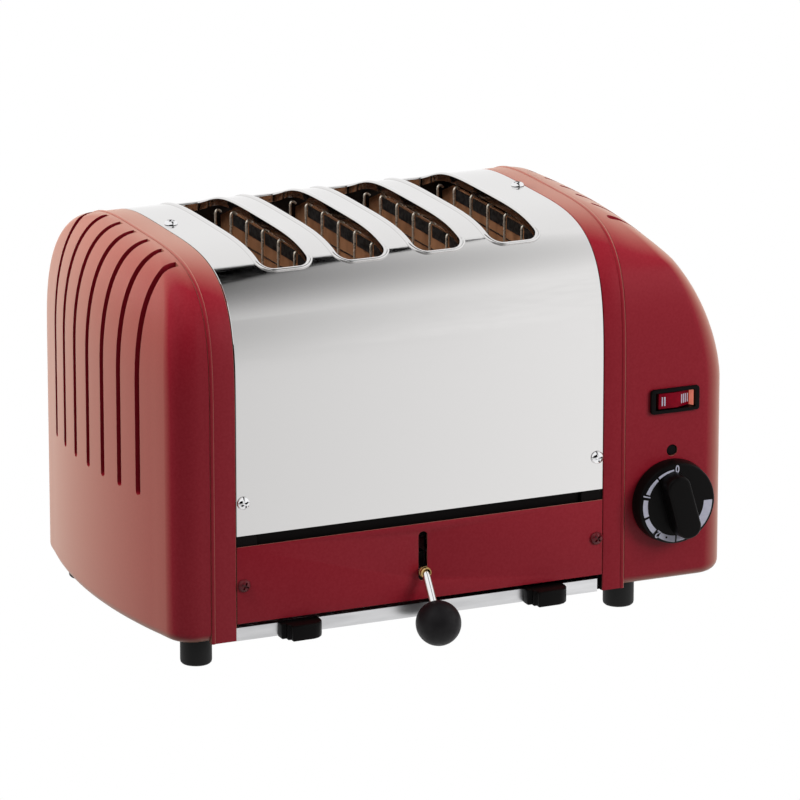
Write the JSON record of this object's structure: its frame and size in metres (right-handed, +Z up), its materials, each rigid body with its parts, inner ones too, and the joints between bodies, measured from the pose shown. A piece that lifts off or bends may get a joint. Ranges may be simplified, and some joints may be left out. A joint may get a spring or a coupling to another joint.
{
  "type": "pop-up toaster",
  "caption": "Pop-up toaster with a polished steel loaf body between rounded red louvred ends, side-by-side slots, ball lever, timer dial, rocker switch and crumb tray.",
  "frame": {"origin": "on the table under the middle of the overall bounding box", "axes": "+X towards the end with the controls, -Y the front with lever and tray tabs, +Z up"},
  "size_m": [0.36, 0.2402, 0.2287],
  "materials": {
    "red_enamel": "satin, fine grain",
    "polished_steel": "polished",
    "chrome": "bright",
    "rubber": "matte",
    "mica": "matte",
    "brass": "satin",
    "aluminium": "satin",
    "red_lens": "gloss",
    "black_plastic": "semi-gloss",
    "dark_sheet": "heat-darkened"
  },
  "bodies": {
    "body": {"base_frame": "dark_sheet", "body_panel": "polished_steel", "dial_index_plug": "black_plastic", "foot_front_left": "rubber", "foot_front_right": "rubber", "foot_rear_left": "rubber", "foot_rear_right": "rubber", "front_baffle": "dark_sheet", "front_chamber_wall": "dark_sheet", "front_lower_cover": "red_enamel", "front_lower_screw_left": "red_enamel", "front_lower_screw_right": "red_enamel", "front_upper_screw_left": "chrome", "front_upper_screw_right": "chrome", "guide_rod_1": "chrome", "guide_rod_2": "chrome", "heating_element_1": "mica", "heating_element_2": "mica", "heating_element_3": "mica", "heating_element_4": "mica", "heating_element_5": "mica", "inlet_bush": "black_plastic", "left_chamber_wall": "dark_sheet", "left_end_cap": "red_enamel", "left_end_frame": "red_enamel", "rear_baffle": "dark_sheet", "rear_chamber_wall": "dark_sheet", "rear_lower_cover": "red_enamel", "rear_lower_screw_left": "red_enamel", "rear_lower_screw_right": "red_enamel", "rear_upper_screw_left": "chrome", "rear_upper_screw_right": "chrome", "right_chamber_wall": "dark_sheet", "right_end_cap": "red_enamel", "right_end_frame": "red_enamel", "switch_housing": "black_plastic", "timer_body": "dark_sheet", "top_screw_left": "chrome", "top_screw_right": "chrome", "wire_guard_1_left": "chrome", "wire_guard_1_right": "chrome", "wire_guard_2_left": "chrome", "wire_guard_2_right": "chrome", "wire_guard_3_left": "chrome", "wire_guard_3_right": "chrome", "wire_guard_4_left": "chrome", "wire_guard_4_right": "chrome"},
    "lifter": {"lift_carriage": "dark_sheet", "lever_rod": "chrome", "lever_collar": "brass", "lever_ball": "black_plastic"},
    "timer_dial": {"timer_knob": "black_plastic", "timer_shaft": "chrome"},
    "rocker": {"rocker_switch": "red_lens"},
    "tray": {"crumb_tray": "aluminium", "left_tray_tab": "black_plastic", "right_tray_tab": "black_plastic"}
  },
  "joints": [
    {"name": "lever_slide", "type": "slide", "parent": "body", "child": "lifter", "axis": [0, 0, 1], "range_m": [0, 0.02]},
    {"name": "timer_turn", "type": "hinge", "parent": "body", "child": "timer_dial", "pos_m": [0.1335, -0.08655, 0.0635], "axis": [0, 1, 0], "range_deg": [0, 285]},
    {"name": "rocker_tip", "type": "hinge", "parent": "body", "child": "rocker", "pos_m": [0.135, -0.08375, 0.1224], "axis": [0, 0, 1], "range_deg": [-18, 0]},
    {"name": "tray_slide", "type": "slide", "parent": "body", "child": "tray", "axis": [0, -1, 0], "range_m": [0, 0.009]}
  ]
}
